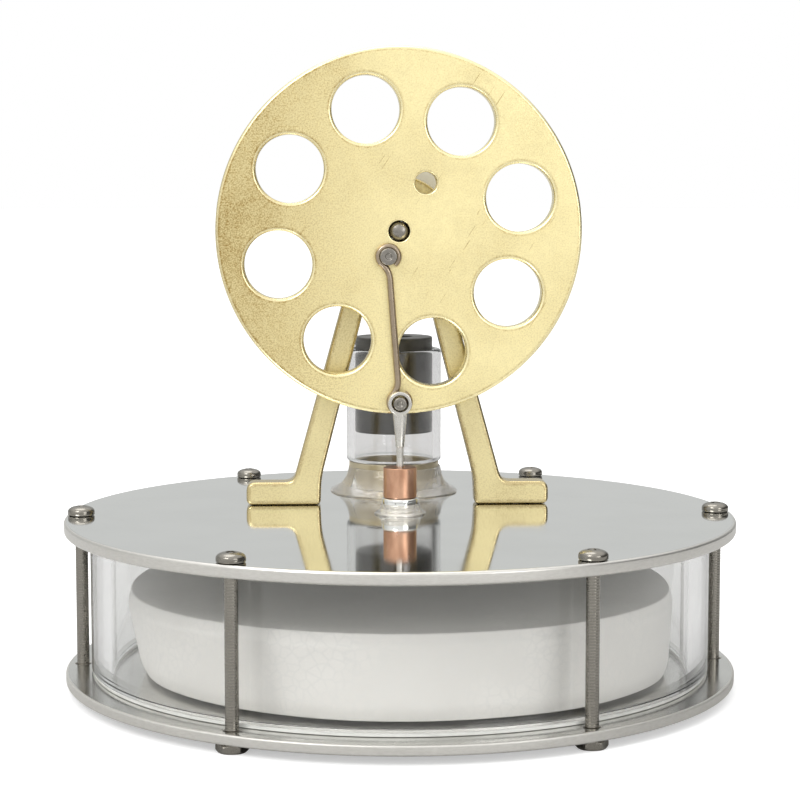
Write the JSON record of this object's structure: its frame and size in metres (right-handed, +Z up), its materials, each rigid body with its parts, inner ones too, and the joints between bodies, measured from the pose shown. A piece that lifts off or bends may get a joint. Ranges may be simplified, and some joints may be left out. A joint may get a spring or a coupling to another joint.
{
  "type": "stirling engine model",
  "caption": "Low-temperature hot-air engine with a round chamber, glass power cylinder and brass flywheel, which runs on the heat of a hand or a cup.",
  "frame": {"origin": "centre of the base, on the surface the engine stands on", "axes": "+Z up; the flywheel's face looks along -Y and the crankshaft runs along Y; +X to the right"},
  "size_m": [0.1, 0.1, 0.095],
  "materials": {
    "polished_aluminium": "polished",
    "satin_brass": "satin",
    "stainless_steel": "polished",
    "bent_wire": "satin",
    "copper": "satin",
    "clear_acrylic": "gloss",
    "cylinder_glass": "polished",
    "clear_glue": "gloss",
    "seal_rubber": "matte",
    "white_foam": "matte",
    "graphite": "matte"
  },
  "bodies": {
    "chassis": {"bottom_plate": "polished_aluminium", "top_plate": "polished_aluminium", "chamber_ring": "clear_acrylic", "lower_seal": "seal_rubber", "upper_seal": "seal_rubber", "tie_screw_1": "stainless_steel", "tie_screw_2": "stainless_steel", "tie_screw_3": "stainless_steel", "tie_screw_4": "stainless_steel", "tie_screw_5": "stainless_steel", "tie_screw_6": "stainless_steel", "tie_nut_1": "stainless_steel", "tie_nut_2": "stainless_steel", "tie_nut_3": "stainless_steel", "tie_nut_4": "stainless_steel", "tie_nut_5": "stainless_steel", "tie_nut_6": "stainless_steel", "bracket": "satin_brass", "foot_screw_left": "stainless_steel", "foot_screw_right": "stainless_steel", "bearing_outer_ring": "stainless_steel", "bearing_ball_1": "stainless_steel", "bearing_ball_2": "stainless_steel", "bearing_ball_3": "stainless_steel", "bearing_ball_4": "stainless_steel", "bearing_ball_5": "stainless_steel", "bearing_ball_6": "stainless_steel", "bearing_ball_7": "stainless_steel", "bearing_shield_front": "stainless_steel", "bearing_shield_rear": "stainless_steel", "guide_collar": "polished_aluminium", "guide_bush": "copper", "guide_glue": "clear_glue", "cylinder_collar": "satin_brass", "power_cylinder": "cylinder_glass", "cylinder_glue": "clear_glue"},
    "rotor": {"flywheel": "satin_brass", "crankshaft": "stainless_steel", "front_sleeve": "polished_aluminium", "rear_sleeve": "polished_aluminium", "bearing_inner_ring": "stainless_steel", "crank_disc": "polished_aluminium", "piston_crank_pin": "stainless_steel"},
    "displacer_assembly": {"displacer": "white_foam", "displacer_hub": "polished_aluminium", "displacer_rod": "stainless_steel", "rod_head": "stainless_steel", "displacer_pin": "stainless_steel"},
    "displacer_link": {"displacer_conrod": "bent_wire", "crank_pin": "stainless_steel"},
    "piston_assembly": {"power_piston": "graphite", "gudgeon_pin": "stainless_steel"},
    "piston_link": {"piston_conrod": "bent_wire", "conrod_cap_pin": "stainless_steel"}
  },
  "joints": [
    {"name": "flywheel_spin", "type": "hinge", "parent": "chassis", "child": "rotor", "pos_m": [0, 0.0106, 0.06755], "axis": [0, 1, 0], "continuous": true},
    {"name": "displacer_slide", "type": "slide", "parent": "chassis", "child": "displacer_assembly", "axis": [0, 0, 1], "range_m": [-0.00042, 0.00778]},
    {"name": "displacer_conrod_swing", "type": "hinge", "parent": "displacer_assembly", "child": "displacer_link", "pos_m": [0, 0.00155, 0.04191], "axis": [0, 1, 0], "range_deg": [-6.4, 15.1]},
    {"name": "piston_slide", "type": "slide", "parent": "chassis", "child": "piston_assembly", "axis": [0, 0, 1], "range_m": [-0.00438, 0.00162]},
    {"name": "piston_conrod_swing", "type": "hinge", "parent": "piston_assembly", "child": "piston_link", "pos_m": [0, 0.025, 0.04485], "axis": [0, 1, 0], "range_deg": [-0.6, 13.7]}
  ]
}
